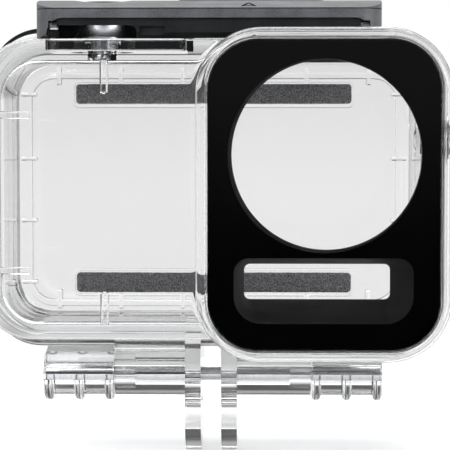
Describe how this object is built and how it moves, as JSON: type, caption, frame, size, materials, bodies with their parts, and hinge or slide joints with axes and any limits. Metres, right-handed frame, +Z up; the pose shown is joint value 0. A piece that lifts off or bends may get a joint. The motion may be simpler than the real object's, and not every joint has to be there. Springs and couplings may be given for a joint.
{
  "type": "underwater camera housing",
  "caption": "Clear hinged waterproof case for a compact action camera, with a raised lens turret, a latch over the top, sealed push buttons and mounting fingers below.",
  "frame": {"origin": "centre of the bolt hole through the two mounting fingers, midway between them", "axes": "+X to the right seen from the lens side and along the finger bolt, +Y to the rear through the door, +Z up to the latch"},
  "size_m": [0.0837, 0.0473, 0.0814],
  "materials": {
    "clear_case": "clear moulded polycarbonate, polished",
    "clear_door": "clear moulded polycarbonate, polished",
    "window_glass": "polished flat pane",
    "gloss_black": "gloss black",
    "matt_black": "fine grain, matt",
    "latch_grey": "satin moulded, dark grey",
    "slider_grey": "satin moulded, light warm grey",
    "felt": "short dense pile",
    "pale_rubber": "soft translucent silicone",
    "black_rubber": "soft",
    "steel": "ground, bright",
    "grey_metal": "anodised grey, satin"
  },
  "bodies": {
    "housing": {"body_shell": "clear_case", "keeper_post": "clear_case", "mount_finger_right": "clear_case", "mount_finger_left": "clear_case", "hinge_pin": "steel", "front_glass": "window_glass", "face_mask": "gloss_black", "window_gasket": "black_rubber", "lens_ring": "matt_black", "sensor_hood": "matt_black", "shutter_collar": "grey_metal", "shutter_spring": "steel", "shutter_o_ring": "black_rubber", "power_collar": "grey_metal", "power_spring": "steel", "power_o_ring": "black_rubber"},
    "door": {"rear_door": "clear_door", "door_gasket": "pale_rubber", "upper_pad": "felt", "lower_pad": "felt", "door_top_rail": "latch_grey"},
    "latch": {"latch_frame": "latch_grey", "latch_pin_right": "steel", "latch_pin_left": "steel", "lock_spring": "steel"},
    "lock": {"lock_slider": "slider_grey", "lock_tongue": "latch_grey"},
    "shutter_button": {"shutter_cap": "latch_grey", "shutter_plunger": "steel", "shutter_clip": "steel"},
    "power_button": {"power_cap": "grey_metal", "power_plunger": "steel", "power_clip": "steel"}
  },
  "joints": [
    {"name": "door_hinge", "type": "hinge", "parent": "housing", "child": "door", "pos_m": [0, 0.008, 0.0048], "axis": [-1, 0, 0], "range_deg": [0, 110]},
    {"name": "latch_hinge", "type": "hinge", "parent": "housing", "child": "latch", "pos_m": [0, -0.0063, 0.0672], "axis": [1, 0, 0], "range_deg": [0, 60]},
    {"name": "lock_slide", "type": "slide", "parent": "latch", "child": "lock", "axis": [0, 1, 0], "range_m": [0, 0.003], "stiffness_N_per_m": 500, "springref_m": -0.0005, "deforming": ["lock_spring"]},
    {"name": "shutter_press", "type": "slide", "parent": "housing", "child": "shutter_button", "axis": [0, 0, -1], "range_m": [0, 0.0015], "stiffness_N_per_m": 800, "springref_m": -0.0005, "deforming": ["shutter_spring"]},
    {"name": "power_press", "type": "slide", "parent": "housing", "child": "power_button", "axis": [-1, 0, 0], "range_m": [0, 0.0012], "stiffness_N_per_m": 800, "springref_m": -0.0005, "deforming": ["power_spring"]}
  ]
}
